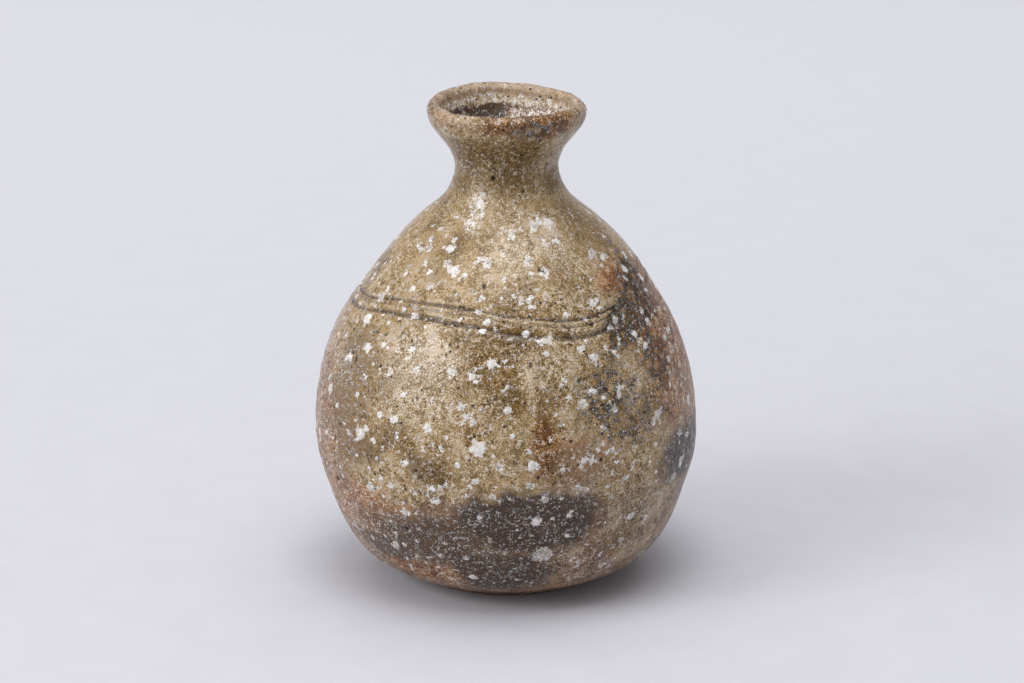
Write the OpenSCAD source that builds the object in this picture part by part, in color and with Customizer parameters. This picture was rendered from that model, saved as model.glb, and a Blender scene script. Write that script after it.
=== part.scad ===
// Hand-built stoneware sake bottle: a slab foot, luted clay wall rings, a thrown neck and a flared
// mouth, with feldspar grains in the clay and a thin coat of natural ash glaze over the upper wall.
// Millimetres, +Z up, origin at the centre of the flat foot, front of the bottle towards -Y.

/* [Body] */
// Radius of the widest part of the belly
belly_r = 48; // [46:0.5:50]
// Height of the widest part of the belly
belly_z = 38; // [36:0.5:40]
// Radius of the flat foot
foot_r = 22; // [20:0.5:24]
// Height of the rim's top
bottle_h = 122; // [120:0.5:124]
// Thickness of the foot slab
slab_t = 6.5; // [6:0.5:8]
// Thickness of the belly wall
wall_t = 5; // [4.5:0.5:6]
// Height of the joint between the belly and the shoulder
shoulder_z = 64.5; // [64:0.5:65]

/* [Neck and mouth] */
// Height of the joint between the shoulder and the neck
neck_foot_z = 95.5; // [95:0.5:96]
// Outer radius of the neck at its narrowest
neck_r = 12.8; // [12.4:0.2:13.6]
// Height of the narrowest neck
neck_z = 105.5; // [105:0.5:106.5]
// Radius of the round throat that a stopper fits
throat_r = 9; // [8.5:0.1:9.4]
// Length of the round throat
throat_length = 8; // [7:0.5:9]
// Radius of the lip at the centre of its rounding
lip_r = 18.1; // [17.5:0.1:18.5]
// Radius of the lip's rounding
lip_round = 1.9; // [1.7:0.1:2.1]

/* [Incised lines] */
// Height of the upper line round the shoulder
line_z = 76.5; // [75:0.5:78]
// Drop from one line to the next
line_drops = [0, 1.1, 3.6]; // three lines, the last one the widest
// Depth of the lines
line_depth = 0.5; // [0.3:0.1:0.8]

/* [Ash glaze] */
// Thickness of the ash glaze coat
glaze_t = 0.4; // [0.3:0.1:0.5]

/* [Feldspar grains] */
// How far a grain stands out of the clay
grain_stand = 0.55; // [0.45:0.05:0.7]
// Number of grains scattered round the back and sides
scattered_grains = 22; // [10:1:30]

/* [Hidden] */
$fn = 180;
curve_steps = 7;
golden_angle = 137.5;
joint_drop = 3; // how much lower the inner edge of a joint lies than its outer edge
grain_reach = 3;
floor_r = 24;
lip_z = bottle_h - lip_round;
throat_top = neck_z + 0.5;
throat_bottom = throat_top - throat_length;

// Outer wall, from the foot to the lip: [radius, height, heading in degrees above the horizontal]
outer_line = [
    [foot_r, 0, 38],
    [34.5, slab_t - 0.2, 36],
    [38, 10, 56],
    [belly_r, belly_z, 90],
    [42.5, shoulder_z, 116],
    [29.7, 84, 129],
    [17.8, neck_foot_z, 143],
    [neck_r, neck_z, 90],
    [17, 114, 50],
    [lip_r + lip_round, lip_z, 90],
];
// Inner wall, from the edge of the floor to the throat, and from the throat to the lip
inner_line = [
    [floor_r, slab_t, 8],
    [36, 14.5, 62],
    [belly_r - wall_t, belly_z - joint_drop, 90],
    [38.5, shoulder_z - joint_drop * 1.5, 114],
    [25.2, 80, 129],
    [12.8, neck_foot_z - joint_drop, 140],
    [throat_r, throat_bottom, 90],
];
mouth_line = [
    [throat_r, throat_top, 90],
    [13, 113.5, 52],
    [lip_r - lip_round, lip_z, 84],
];

// Feldspar grains on the front: [degrees round from the front, height, radius]
front_grains = [
    [-8, 47, 1.9], [-48, 46.6, 1.7], [12, 17.5, 2.3], [-5, 67, 1.5], [-62, 71.5, 1.6],
    [-54, 66, 1.4], [-21, 33, 1.4], [-44, 33, 1.5], [-32, 28, 1.3], [9, 28, 1.4],
    [8, 43, 1.5], [-28, 86, 1.5], [32, 95.2, 1.3], [19, 95, 1.2], [17, 86, 1.3],
    [42, 25, 1.4], [-68, 53, 1.4], [30, 67, 1.3], [-18, 65, 1.3], [52, 50, 1.4],
    [-35, 52, 1.3], [24, 57, 1.3], [-12, 11, 1.2], [36, 12, 1.2], [60, 32, 1.3],
    [-75, 40, 1.3], [-40, 17, 1.3], [14, 72, 1.2], [-35, 90, 1.1], [50, 88, 1.2],
];

function hermite(a, b, t) =
    let (
        chord = norm([b[0] - a[0], b[1] - a[1]]),
        from = chord * [cos(a[2]), sin(a[2])],
        to = chord * [cos(b[2]), sin(b[2])]
    )
    (2 * t ^ 3 - 3 * t ^ 2 + 1) * [a[0], a[1]] + (t ^ 3 - 2 * t ^ 2 + t) * from
    + (3 * t ^ 2 - 2 * t ^ 3) * [b[0], b[1]] + (t ^ 3 - t ^ 2) * to;

// Points along a line of control points, from control point i to control point j
function stretch(line, i, j) = concat(
    [for (k = [i : j - 1]) for (s = [0 : curve_steps - 1]) hermite(line[k], line[k + 1], s / curve_steps)],
    [[line[j][0], line[j][1]]]
);

function reversed(points) = [for (i = [len(points) - 1 : -1 : 0]) points[i]];

// Unit outward normal at point i of a line of points
function outward(points, i) =
    let (
        a = points[max(i - 1, 0)],
        b = points[min(i + 1, len(points) - 1)],
        along = (b - a) / norm(b - a)
    )
    [along[1], -along[0]];

// Point of the outer wall at a height
function wall_point(z) =
    let (
        points = stretch(outer_line, 0, len(outer_line) - 1),
        i = max([for (k = [0 : len(points) - 2]) if (points[k][1] <= z) k]),
        share = (z - points[i][1]) / (points[i + 1][1] - points[i][1])
    )
    points[i] + share * (points[i + 1] - points[i]);

// Unit outward normal of the wall at a height
function wall_normal(z) = outward([wall_point(z - 1), wall_point(z + 1)], 0);

// Grains as [azimuth from the front, height, radius], those at the front and those scattered elsewhere
grains = concat(
    front_grains,
    [for (i = [0 : scattered_grains - 1])
        [180 + 84 * sin(i * golden_angle), 13 + 70 * (i + 0.5) / scattered_grains, 1.2 + 0.35 * cos(i * 97)]]
);

// A grain set in the wall, its centre pushed in along the wall's normal
module grain(azimuth, height, radius) {
    normal = wall_normal(height);
    rotate([0, 0, azimuth - 90])
        translate([wall_point(height)[0], 0, height])
            rotate([0, atan2(-normal[1], normal[0]), 0])
                translate([grain_stand - radius, 0, 0])
                    sphere(r = radius, $fn = 32);
}

module every_grain() {
    for (g = grains) grain(g[0], g[1], g[2]);
}

// Every grain that can touch the wall between two heights
module grains_between(low, high) {
    for (g = grains) if (g[1] > low - grain_reach && g[1] < high + grain_reach) grain(g[0], g[1], g[2]);
}

// A wall ring between two heights, from its outer and inner points, with pockets for the grains
module ring(outer, inner, low, high) {
    difference() {
        rotate_extrude() polygon(concat(outer, reversed(inner)));
        grains_between(low, high);
    }
}

module foot_slab() {
    color("#5b4a40")
        rotate_extrude()
            polygon(concat([[0, 0]], stretch(outer_line, 0, 1), [[floor_r, slab_t], [0, slab_t]]));
}

module lower_belly() {
    color("#6b5846")
        ring(stretch(outer_line, 1, 3), stretch(inner_line, 0, 2), slab_t, belly_z);
}

module upper_belly() {
    color("#94805c")
        ring(stretch(outer_line, 3, 4), stretch(inner_line, 2, 3), belly_z, shoulder_z);
}

// Sections of the incised lines, centred on the wall or a little outside it
module line_sections(out) {
    for (drop = line_drops)
        translate(wall_point(line_z - drop) + out * wall_normal(line_z - drop))
            circle(r = line_depth, $fn = 24);
}

module shoulder() {
    color("#ab9870")
        difference() {
            ring(stretch(outer_line, 4, 6), stretch(inner_line, 3, 5), shoulder_z, neck_foot_z);
            rotate_extrude() line_sections(0);
        }
}

module neck() {
    color("#8d7652")
        ring(
            stretch(outer_line, 6, 7),
            concat(stretch(inner_line, 5, 6), [[throat_r, throat_top]]),
            neck_foot_z,
            neck_z
        );
}

module mouth_rim() {
    color("#a08560")
        rotate_extrude()
            polygon(concat(
                stretch(outer_line, 7, 9),
                [for (a = [15 : 15 : 165]) [lip_r, lip_z] + lip_round * [cos(a), sin(a)]],
                reversed(stretch(mouth_line, 0, 2))
            ));
}

// A coat on the outer wall from the belly to the neck, following the wall into the incised lines
module ash_glaze() {
    wall = stretch(outer_line, 3, 7);
    coat = [for (i = [0 : len(wall) - 1]) wall[i] + glaze_t * outward(wall, i)];
    color("#a8966a")
        difference() {
            rotate_extrude()
                difference() {
                    union() {
                        polygon(concat(coat, reversed(wall)));
                        line_sections(0);
                    }
                    line_sections(glaze_t);
                }
            every_grain();
        }
}

module feldspar_grains() {
    color("#e6e2da") every_grain();
}

foot_slab();
lower_belly();
upper_belly();
shoulder();
neck();
mouth_rim();
ash_glaze();
feldspar_grains();
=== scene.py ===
import functools
import math

import bmesh
import bpy
import numpy as np
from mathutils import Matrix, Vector
from mathutils.bvhtree import BVHTree


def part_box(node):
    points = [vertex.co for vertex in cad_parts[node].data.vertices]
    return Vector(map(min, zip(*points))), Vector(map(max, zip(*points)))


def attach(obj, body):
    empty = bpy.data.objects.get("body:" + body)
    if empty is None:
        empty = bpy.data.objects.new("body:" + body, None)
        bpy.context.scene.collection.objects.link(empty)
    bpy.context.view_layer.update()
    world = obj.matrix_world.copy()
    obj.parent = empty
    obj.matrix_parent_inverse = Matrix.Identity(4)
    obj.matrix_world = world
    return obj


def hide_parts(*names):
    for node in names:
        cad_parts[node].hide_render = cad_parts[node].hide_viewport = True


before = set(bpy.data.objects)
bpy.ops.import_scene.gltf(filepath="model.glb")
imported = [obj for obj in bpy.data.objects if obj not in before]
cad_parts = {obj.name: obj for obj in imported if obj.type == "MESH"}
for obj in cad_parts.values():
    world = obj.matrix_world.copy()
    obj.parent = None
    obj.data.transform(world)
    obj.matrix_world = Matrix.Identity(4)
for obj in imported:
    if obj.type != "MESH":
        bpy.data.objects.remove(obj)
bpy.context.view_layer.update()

# Lengths are in millimetres until a mesh is written. Azimuth is in degrees from the bottle's front,
# positive to the viewer's right, and height is above the foot.
MM = 0.001
COLUMNS = 560
COARSE = 4  # the unseen surfaces have one column for this many of the outer wall's
COLUMNS_INSIDE = COLUMNS // COARSE
MOST_GRAINS = 1000
MOST_TRIES = 12000
COMB_TOP = 100  # the incised lines are all below this height
GLAZE_LOW = 30.0  # where the glaze piece starts, below the lowest ash
GLAZE_DEPTH = 0.8  # how far the glaze piece reaches into the clay
WALL_NODES = ["foot_slab", "lower_belly", "upper_belly", "shoulder", "neck", "mouth_rim"]
random = np.random.default_rng(41)


def smooth(low, high, value):
    """0 below low, 1 above high, and an even ease between; low may be the larger."""
    t = np.clip((value - low) / (high - low), 0, 1)
    return t * t * (3 - 2 * t)


def wrap(azimuth):
    """The same azimuth, between -180 and 180."""
    return (azimuth + 180) % 360 - 180


def lattice(ix, iy, iz, seed):
    h = (ix * 73856093) ^ (iy * 19349663) ^ (iz * 83492791) ^ (seed * 40503)
    h = (h ^ (h >> 13)) * 1274126177
    h = (h ^ (h >> 15)) & 0xFFFF
    return h / 32767.5 - 1


def value_noise(points, wavelength, seed):
    """Smooth noise from -1 to 1 at points, with that wavelength."""
    q = points / wavelength
    i = np.floor(q).astype(np.int64)
    f = q - i
    f = f * f * f * (f * (f * 6 - 15) + 10)
    total = np.zeros(points.shape[:-1])
    for corner in range(8):
        bits = (corner & 1, corner >> 1 & 1, corner >> 2)
        weight = 1.0
        for k in range(3):
            weight = weight * (f[..., k] if bits[k] else 1 - f[..., k])
        total += weight * lattice(i[..., 0] + bits[0], i[..., 1] + bits[1], i[..., 2] + bits[2], seed)
    return total


def fractal(points, wavelength, octaves, seed):
    """Several octaves of noise, each half as long as the last and a little over half as strong."""
    total, size, norm = 0, 1.0, 0
    for k in range(octaves):
        total = total + size * value_noise(points + 37.3 * k, wavelength / 2 ** k, seed + k)
        norm += size
        size *= 0.55
    return total / norm


# ---- the wall's own line
def tree_of(names):
    """The named CAD nodes' faces, in millimetres, to cast rays at."""
    corners, polygons = [], []
    for name in names:
        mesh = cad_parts[name].data
        first = len(corners)
        corners += [v.co / MM for v in mesh.vertices]
        polygons += [[first + i for i in p.vertices] for p in mesh.polygons]
    return BVHTree.FromPolygons(corners, polygons)


wall_tree = tree_of(WALL_NODES)
PROBES = [Vector((math.cos(a), math.sin(a), 0)) for a in np.arange(12) * math.tau / 12 + 0.2]


def outer_radius(z):
    """The wall's radius at a height; the middle of 12 probes passes by any grain's pocket."""
    found = [wall_tree.ray_cast(d * 200 + Vector((0, 0, z)), -d)[3] for d in PROBES]
    return 200 - float(np.median(found))


def inner_radius(z):
    found = [wall_tree.ray_cast(Vector((0, 0, z)), d)[3] for d in PROBES]
    return float(np.median(found))


def eased(line, spread):
    """A line of points smoothed along its length, its two ends kept."""
    steps = int(spread * 3)
    kernel = np.exp(-0.5 * (np.arange(-steps, steps + 1) / spread) ** 2)
    kernel /= kernel.sum()
    ends = [2 * line[0] - line[steps:0:-1], line, 2 * line[-1] - line[-2:-steps - 2:-1]]
    padded = np.concatenate(ends)
    return np.stack([np.convolve(padded[:, k], kernel, "valid") for k in range(2)], 1)


def resampled(line, spacing):
    """The line with its points about that far apart."""
    gaps = np.linalg.norm(np.diff(line, axis=0), axis=1)
    along = np.concatenate([[0], np.cumsum(gaps)])
    count = max(2, int(round(along[-1] / spacing)) + 1)
    at = np.linspace(0, along[-1], count)
    return np.stack([np.interp(at, along, line[:, k]) for k in range(2)], 1)


boxes = {name: [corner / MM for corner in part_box(name)] for name in WALL_NODES}
slab_top = boxes["foot_slab"][1].z
joint_low = boxes["lower_belly"][0].z
joint_belly = boxes["lower_belly"][1].z
joint_shoulder = boxes["upper_belly"][1].z
shoulder_top = boxes["shoulder"][1].z
neck_top = boxes["mouth_rim"][0].z
inner_joint_belly = boxes["upper_belly"][0].z
inner_joint_shoulder = boxes["shoulder"][0].z
inner_joint_neck = boxes["neck"][0].z
inner_joint_mouth = boxes["neck"][1].z
bottle_top = boxes["mouth_rim"][1].z
mouth_edge = boxes["mouth_rim"][1].x

outer_z = np.arange(0.05, bottle_top - 0.5, 0.25)
outer_r = np.array([outer_radius(z) for z in outer_z])
lip_z = outer_z[np.argmax(np.where(outer_z > neck_top, outer_r, 0))]
lip_round = bottle_top - lip_z
lip_r = mouth_edge - lip_round
keep = outer_z < lip_z
outer_line = eased(resampled(np.stack([outer_r[keep], outer_z[keep]], 1), 0.25), 5)
inner_z = np.arange(lip_z - 0.2, slab_top + 0.4, -0.25)
inner_line = np.array([[inner_radius(z), z] for z in inner_z])
inner_line = eased(resampled(inner_line, 0.25), 5)
lip_angles = np.radians(np.arange(8, 173, 8))
lip_arc = np.stack([lip_r + lip_round * np.cos(lip_angles), lip_z + lip_round * np.sin(lip_angles)], 1)


def between(line, low, high, spacing):
    """The line's stretch from one height to another, as points about that far apart, ends included."""
    heights = line[:, 1]
    rising = heights[-1] > heights[0]
    upward = line if rising else line[::-1]
    inside = upward[(upward[:, 1] > low) & (upward[:, 1] < high)]
    ends = [[np.interp(z, upward[:, 1], upward[:, 0]), z] for z in (low, high)]
    part = resampled(np.vstack([ends[0], inside, ends[1]]), spacing)
    return part if rising else part[::-1]


# ---- incised lines
LINE_PATH = [
    (-180, 77), (-150, 76), (-120, 74.6), (-90, 74.2), (-70, 75), (-60, 76.4), (-45, 77.6), (-30, 78),
    (-15, 77.8), (0, 76.6), (15, 75.5), (30, 74.8), (45, 75.9), (60, 77.6), (75, 80), (95, 81.8),
    (120, 81), (150, 78.6), (180, 77),
]
# Each line of the comb: drop below the path, depth, half width
COMB = [(0.0, 0.36, 0.33), (1.2, 0.2, 0.26), (3.2, 0.46, 0.5)]


def round_curve(points, azimuth, softness=5):
    """A value read off control points round the bottle, smoothed, at each azimuth."""
    table = np.array(points, float)
    degrees = np.arange(-180, 180)
    values = np.interp(degrees, table[:, 0], table[:, 1])
    reach = np.arange(-20, 21)
    kernel = np.exp(-0.5 * (reach / softness) ** 2)
    kernel /= kernel.sum()
    values = sum(w * np.roll(values, k) for w, k in zip(kernel, reach))
    return np.interp(wrap(azimuth), np.append(degrees, 180), np.append(values, values[0]))


def comb_marks(azimuth, z, points):
    """Depth of the incised lines in millimetres, and how dark they look, at each place."""
    path = round_curve(LINE_PATH, azimuth)
    jitter = 0.18 * value_noise(points, 7, 91)
    press = 0.78 + 0.3 * value_noise(points, 13, 92)
    faint = 1 - 0.6 * smooth(42, 56, azimuth) * smooth(84, 70, azimuth)
    depth, dark = 0, 0
    for drop, deep, half in COMB:
        spread = drop * (1 + 0.12 * np.sin(np.radians(azimuth * 2 + 40)))
        off = (z - path + spread + jitter) / half
        groove = np.exp(-0.5 * off ** 2)
        burr = np.exp(-0.5 * (np.abs(off) - 2.2) ** 2)
        depth = depth + press * faint * deep * (groove - 0.22 * burr)
        dark = np.maximum(dark, press * faint * groove * min(1, deep / 0.3))
    return depth, dark


# ---- unevenness
# Pits torn in the clay: azimuth, height, radius, depth
PITS = [
    (-15, 105.4, 0.75, 0.7), (18, 102.2, 0.5, 0.5), (-33, 23.2, 0.8, 0.5), (15.5, 86, 0.8, 0.45),
    (17, 85.6, 0.7, 0.4), (-15, 61, 0.6, 0.4), (24, 62, 0.6, 0.5), (3, 44, 0.6, 0.4),
    (-52, 50, 0.7, 0.4), (57, 50, 0.8, 0.5), (48, 23, 0.8, 0.5), (63, 72, 0.8, 0.6),
    (-70, 50, 0.7, 0.5), (8, 66, 0.5, 0.4),
]
SCATTERED_PITS = 60
for a, b, c, d in random.uniform(0, 1, (SCATTERED_PITS, 4)):
    PITS.append((-180 + 360 * a, 10 + 84 * b, 0.4 + 0.5 * c, 0.25 + 0.3 * d))


def place(radius, z, azimuth):
    """Points in space at a radius, height and azimuth."""
    turn = np.radians(azimuth - 90)
    return np.stack([radius * np.cos(turn), radius * np.sin(turn), z + 0 * turn], -1)


def bend(points, z, azimuth):
    """The lean and swelling of a hand-built wall: a sideways shift and a change of radius, by height."""
    side = 0.75 * np.exp(-((z - 84) / 12) ** 2) - 0.25 * np.exp(-((z - 50) / 14) ** 2)
    knee = np.exp(-((z - 13.5) / 5.5) ** 2)
    radial = 0.4 * knee * (1 + 0.4 * np.sin(np.radians(azimuth + 20)))
    radial = radial - 0.3 * np.exp(-((z - 25) / 5) ** 2)
    radial = radial + 0.35 * fractal(points, 42, 2, 5)
    radial = radial * smooth(0.5, 8, z)
    return side, radial


def relief(points, z, row_along):
    """Millimetres that the clay's surface stands out, without the large unevenness."""
    turning = np.sin(row_along * math.tau / 5.2 + 1.4 * value_noise(points, 30, 11))
    body = 0.06 * turning * (0.5 + 0.5 * value_noise(points, 22, 12))
    body = body + 0.16 * fractal(points, 11, 3, 13)
    body = body + 0.045 * fractal(points, 2.6, 2, 14)
    body = body + 0.018 * value_noise(points, 1.1, 15)
    return body * smooth(0.2, 2.5, z)


def pit_depth(points, z, azimuth):
    """How deep the pits are at each place, in millimetres."""
    total = 0 * z
    for pit_azimuth, pit_z, radius, deep in PITS:
        rows = np.where(np.abs(z[:, 0] - pit_z) < radius * 2.5)[0]
        if not len(rows):
            continue
        part = np.s_[rows[0]:rows[-1] + 1]
        ring = np.hypot(points[part][..., 0], points[part][..., 1])
        across = wrap(azimuth[part] - pit_azimuth) * ring * math.pi / 180
        gap = np.hypot(across, (z[part] - pit_z) * 1.1) / radius
        ragged = 1 + 0.35 * value_noise(points[part], 1.2, 17)
        total[part] = np.maximum(total[part], deep * smooth(1.15, 0.45, gap * ragged))
    return total


# ---- patches of colour
def patch(azimuth, z, warp, at_azimuth, at_z, half_azimuth, half_z, edge):
    """1 inside an ellipse on the wall and 0 outside, with a soft edge that the warp makes ragged."""
    da = wrap(azimuth - at_azimuth) / half_azimuth
    dz = (z - at_z) / half_z
    return smooth(1 + edge, 1 - edge, np.hypot(da, dz) + warp)


# Lower edge of the ash glaze round the bottle
ASH_EDGE = [
    (-180, 60), (-150, 68), (-120, 64), (-100, 58), (-84, 50), (-70, 40), (-58, 33), (-45, 29),
    (-32, 30), (-20, 33), (-8, 32.5), (0, 33), (8, 36), (18, 38), (28, 37), (33, 30), (38, 18),
    (46, 10), (56, 12), (62, 22), (67, 38), (73, 52), (84, 66), (100, 74), (125, 78), (150, 66),
    (180, 60),
]
MASKS = [
    "ash", "flecks", "pale_and_highlight", "scorch", "rust", "mauve", "olive", "soot", "amber", "groove", "halo_and_highlight",
    "spots", "pit",
]
# Patches of each colour: strength, azimuth, height, half azimuth, half height, softness of the edge
SCORCH = [
    (1.0, 8, 27, 25, 10.5, 0.25), (0.84, -22, 21, 30, 8, 0.45), (0.85, -44, 16.5, 16, 4, 0.4),
    (0.95, -2, 14, 21, 7.5, 0.35), (1.15, 68, 37, 16, 6.5, 0.5), (0.42, -42, 46, 7, 6, 0.5),
    (0.35, -25, 42, 5, 3.5, 0.5), (0.8, 158, 28, 38, 14, 0.4), (0.6, -128, 20, 26, 9, 0.5),
    (0.56, -59, 56, 15, 17, 0.6), (0.55, -50, 43, 12, 6, 0.6), (0.38, -38, 87, 12, 7, 0.6),
    (0.3, -48, 75, 15, 10, 0.6), (0.42, 11.5, 49, 1.8, 3.5, 0.5), (0.34, 22, 42, 13, 6, 0.6),
]
RUST = [
    (1.1, -30, 11.3, 20, 2.9, 0.3), (0.46, 18, 43, 16, 7, 0.6), (1.0, 70, 66, 20, 19, 0.6),
    (0.7, 84, 52, 14, 22, 0.6), (0.9, 54, 81, 10, 3.5, 0.5), (0.8, -78, 42, 24, 20, 0.6),
    (0.7, -48, 27, 20, 8, 0.5), (0.5, -56, 45, 16, 7, 0.6), (0.8, 120, 45, 30, 30, 0.5),
    (0.8, -150, 42, 34, 22, 0.6),
]
MAUVE = [
    (0.62, 20, 42, 15, 6.5, 0.6), (0.4, 88, 52, 10, 20, 0.5), (0.5, -84, 50, 20, 22, 0.6),
    (0.8, 178, 58, 34, 16, 0.6),
]
OLIVE = [
    (0.4, -6, 64, 9, 12, 0.6), (1.0, 5, 79, 11, 3.5, 0.6), (0.9, 3, 73, 12, 3, 0.6),
    (0.75, 2, 60, 3.5, 6, 0.6), (0.5, 14, 60, 4, 6, 0.5), (0.55, 46, 26, 18, 16, 0.5),
    (0.5, -60, 90, 12, 6, 0.5), (0.3, 25, 85, 10, 5, 0.5), (0.5, 62, 92, 18, 8, 0.5),
    (0.45, 40, 48, 9, 9, 0.5), (0.4, -34, 47, 9, 5, 0.5), (0.7, -6, 49, 7, 8, 0.6),
    (0.7, -16, 41, 9, 4, 0.6), (0.7, -32, 90, 7, 4, 0.6), (0.7, -14, 56, 5, 5, 0.6),
]
# Pale patches. Three are painted highlights where the lamps reflect: on the left of the belly, on the
# front of the shoulder and at the neck's root on the left. The others are pale colour of the surface.
PALE_AND_HIGHLIGHT = [
    (0.5, -32, 64, 16, 13, 0.6), (0.45, 2, 91, 16, 8, 0.6), (0.4, 30, 78, 14, 8, 0.6),
    (0.2, -50, 80, 14, 8, 0.6), (0.45, 24, 60, 8, 6, 0.6), (0.35, 18, 30, 5, 3, 0.5),
    (0.4, 36, 30, 6, 8, 0.5), (0.3, -62, 60, 10, 8, 0.6), (0.75, -28, 97, 9, 4.5, 0.35),
    (0.55, 26, 90, 12, 6, 0.6), (0.5, 14, 65, 11, 7, 0.6), (0.5, 54, 116, 9, 5, 0.6),
    (0.5, 40, 60, 15, 11, 0.6), (0.4, -5, 60, 6, 7, 0.6),
]
SOOT = [
    (0.86, 34, 58, 14, 8.5, 0.6), (0.7, 42, 50, 14, 5, 0.6), (0.9, 57, 62, 9, 7, 0.5),
    (0.5, 150, 62, 24, 10, 0.5),
]


def colour_masks(points, z, azimuth, line_dark, pits, inside):
    """Every mask at each place of the wall's grid, by name."""
    w = 0.3 * fractal(points, 15, 3, 31) + 0.18 * fractal(points, 4, 2, 35)

    def one(*place_and_size):
        return patch(azimuth, z, w, *place_and_size)

    def strongest(patches):
        return np.maximum.reduce([strength * one(*rest) for strength, *rest in patches])

    front_lip = one(18, 118, 38, 8, 0.5)
    off_drip = 1 - one(12, 49, 4, 6, 0.3)
    # Inside the mouth, below a ragged line: less ash, darker toward the back and left, mauve and chalky
    # white elsewhere
    deep_in_mouth = smooth(0.5, -0.5, z - 117.8 + 4 * w) * inside
    turned = azimuth % 360
    left_back = smooth(166, 192, turned + 55 * w) * smooth(268, 244, turned + 30 * w)

    ash = smooth(-3.4, 3.4, z - round_curve(ASH_EDGE, azimuth, 3) + 10 * w)
    ash = ash * (1 - 0.5 * one(82, 58, 15, 26, 0.5)) * (1 - 0.9 * deep_in_mouth)

    rim_scorch = 0.22 * smooth(116.5, 119, z) * (1 - front_lip)
    scorch = np.maximum(strongest(SCORCH) * (1 - inside), rim_scorch)
    scorch = np.maximum(scorch * (1 - deep_in_mouth), 0.95 * deep_in_mouth * left_back)
    rust = np.maximum(strongest(RUST), 0.8 * smooth(8.5, 6, z))

    around_front = smooth(-75, -25, azimuth) * smooth(110, 60, azimuth)
    neck = smooth(98.5, 102.5, z + 5 * w) * smooth(119, 113, z + 5 * w) * (0.42 + 0.22 * around_front)
    olive = np.maximum(strongest(OLIVE), neck) * (1 - inside)

    # Soot climbs in a band from the front to the right
    rise = np.clip((azimuth - 36) / 36, 0, 1)
    band = np.abs(z - 68 - 12 * rise) / (5 + 3 * rise)
    soot = 1.12 * smooth(1.5, 0.4, band + 1.2 * w)
    soot = soot * smooth(32, 40, azimuth + 10 * w) * smooth(86, 70, azimuth)
    soot = np.maximum(soot, strongest(SOOT))
    soot = np.maximum(soot, 0.7 * one(20, 118.5, 16, 2.2, 0.5))

    amber = smooth(114.5, 118, z + 6 * w) * front_lip
    amber = np.maximum(amber, 1.5 * one(11.5, 47.5, 3.6, 6.5, 0.6))

    mauve = np.maximum(strongest(MAUVE), 0.56 * smooth(117, 120, z) * (1 - front_lip))
    mauve = np.maximum(mauve, 0.7 * deep_in_mouth * (1 - left_back))

    pale_and_highlight = np.maximum(strongest(PALE_AND_HIGHLIGHT), inside * (1 - deep_in_mouth * (0.2 + 0.8 * left_back)))
    pale_and_highlight = np.maximum(pale_and_highlight, 0.52 * smooth(118, 120.5, z + 2 * w) * (1 - front_lip))

    spots = 0.45 + 0.4 * smooth(44, 26, z)
    spots = spots + 0.3 * smooth(-20, -60, azimuth) * smooth(-110, -80, azimuth)
    spots = spots * (1 - 0.6 * smooth(38, 30, z)) * (1 - 0.45 * smooth(78, 86, z)) * smooth(99, 93, z)
    spots = spots + 0.22 * value_noise(points, 16, 61) + 0.2 * inside

    left_side = 0.95 * smooth(-38, -60, azimuth) * smooth(-120, -90, azimuth) * smooth(74, 60, z)
    flecks = np.maximum(1.05 * (1 - ash) * smooth(64, 50, z), 0.75 * smooth(44, 30, z))
    flecks = np.maximum(flecks * (1 - 0.2 * scorch), left_side)
    flecks = flecks * (0.8 + 0.35 * value_noise(points, 10, 62))

    chalky = (0.42 + 0.16 * deep_in_mouth) * inside * smooth(120, 119, z) * (1 - deep_in_mouth * left_back)
    return {
        "ash": ash,
        "flecks": flecks * off_drip,
        "pale_and_highlight": pale_and_highlight,
        "scorch": scorch,
        "rust": rust,
        "mauve": mauve,
        "olive": olive,
        "soot": soot,
        "amber": amber,
        "groove": line_dark,
        # The white patch at the neck's root on the left is a painted highlight, where a lamp reflects.
        "halo_and_highlight": np.maximum(chalky, 0.62 * one(-28, 97, 8, 4, 0.5)),
        "spots": spots * off_drip,
        "pit": smooth(0.1, 0.4, pits),
    }


# ---- the wall's grid
def rows_through(bands):
    """Points of the outer line through bands of heights: low, high and spacing."""
    parts = [between(outer_line, *band) for band in bands]
    return np.vstack([parts[0]] + [p[1:] for p in parts[1:]])


comb_low, comb_high = 69, 84
sections = {
    "foot_slab": rows_through([(outer_line[0][1], joint_low, 0.55)]),
    "lower_belly": rows_through([(joint_low, joint_belly, 0.55)]),
    "upper_belly": rows_through([(joint_belly, joint_shoulder, 0.64)]),
    "shoulder": rows_through([
        (joint_shoulder, comb_low, 0.64), (comb_low, comb_high, 0.38), (comb_high, shoulder_top, 0.64),
    ]),
    "neck": rows_through([(shoulder_top, neck_top, 0.5)]),
    "mouth_rim": np.vstack([
        rows_through([(neck_top, lip_z - 0.1, 0.45)]),
        lip_arc,
        between(inner_line, inner_joint_mouth, lip_z - 0.25, 0.45),
    ]),
}
first_row, rows = {}, []
for name in WALL_NODES:
    part = sections[name]
    first_row[name] = len(rows) - (1 if rows else 0)
    rows += list(part if not rows else part[1:])
rows = np.array(rows)
last_row = {name: first_row[name] + len(sections[name]) - 1 for name in WALL_NODES}

azimuths = -180 + 360 * np.arange(COLUMNS) / COLUMNS
AZ, Z = np.meshgrid(azimuths, rows[:, 1])
R = np.repeat(rows[:, :1], COLUMNS, 1)
along = np.concatenate([[0], np.cumsum(np.linalg.norm(np.diff(rows, axis=0), axis=1))])
ALONG = np.repeat(along[:, None], COLUMNS, 1)
base_points = place(R, Z, AZ)


def profile_normals(line):
    """Unit normals of a line of points, as outward and up."""
    slope = np.gradient(line, axis=0)
    out = np.stack([slope[:, 1], -slope[:, 0]], 1)
    return out / np.linalg.norm(out, axis=1, keepdims=True)


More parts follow.
